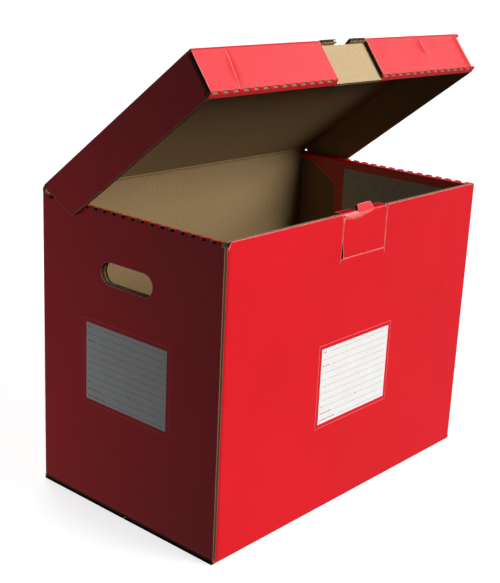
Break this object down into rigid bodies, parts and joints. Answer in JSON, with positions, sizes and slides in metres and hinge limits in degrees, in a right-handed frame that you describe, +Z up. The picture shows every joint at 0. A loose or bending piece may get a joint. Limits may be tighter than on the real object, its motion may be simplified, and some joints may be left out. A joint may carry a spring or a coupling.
{
  "type": "archival box",
  "caption": "Upright archive box of folded corrugated board with a hinged cap lid, doubled ends with hand holes and a lock flap.",
  "frame": {"origin": "centre of the base, on the surface that the box stands on", "axes": "+X along the length of the box, -Y out of the front wall with the lock flap and a label, +Z up"},
  "size_m": [0.3904, 0.2301, 0.4388],
  "materials": {
    "printed_board": "red ink on corrugated board, slight satin sheen",
    "kraft_board": "bare brown kraft liner, matt",
    "label_paper": "white paper with thin ruled lines, matt"
  },
  "bodies": {
    "box_body": {"front_wall": "printed_board", "back_wall": "printed_board", "left_end_outer": "printed_board", "right_end_outer": "printed_board", "left_end_rim": "printed_board", "right_end_rim": "printed_board", "glue_tab": "kraft_board", "bottom_front_flap": "printed_board", "bottom_back_flap": "printed_board", "bottom_left_flap": "kraft_board", "bottom_right_flap": "kraft_board", "front_label": "label_paper", "left_end_label": "label_paper"},
    "lid": {"lid_top": "printed_board", "lid_left_flange": "printed_board", "lid_right_flange": "printed_board", "lid_left_corner_tab": "printed_board", "lid_right_corner_tab": "printed_board", "lid_front_outer_left": "printed_board", "lid_front_outer_right": "printed_board", "lid_front_rim_left": "printed_board", "lid_front_rim_right": "printed_board", "lid_front_inner": "kraft_board"},
    "lock": {"lock_flap": "printed_board", "lock_strip": "printed_board", "lock_tongue": "kraft_board"},
    "left_inner_panel": {"left_end_inner": "printed_board"},
    "right_inner_panel": {"right_end_inner": "printed_board"}
  },
  "joints": [
    {"name": "lid_hinge", "type": "hinge", "parent": "box_body", "child": "lid", "pos_m": [0, 0.115, 0.2939], "axis": [-1, 0, 0], "range_deg": [-37.5, 192.5]},
    {"name": "lock_flap_crease", "type": "hinge", "parent": "box_body", "child": "lock", "pos_m": [0, -0.115, 0.248], "axis": [1, 0, 0], "range_deg": [0, 170]},
    {"name": "left_inner_panel_crease", "type": "hinge", "parent": "box_body", "child": "left_inner_panel", "pos_m": [-0.1833, 0, 0.29], "axis": [0, -1, 0], "range_deg": [0, 35]},
    {"name": "right_inner_panel_crease", "type": "hinge", "parent": "box_body", "child": "right_inner_panel", "pos_m": [0.1833, 0, 0.29], "axis": [0, 1, 0], "range_deg": [0, 35]}
  ]
}
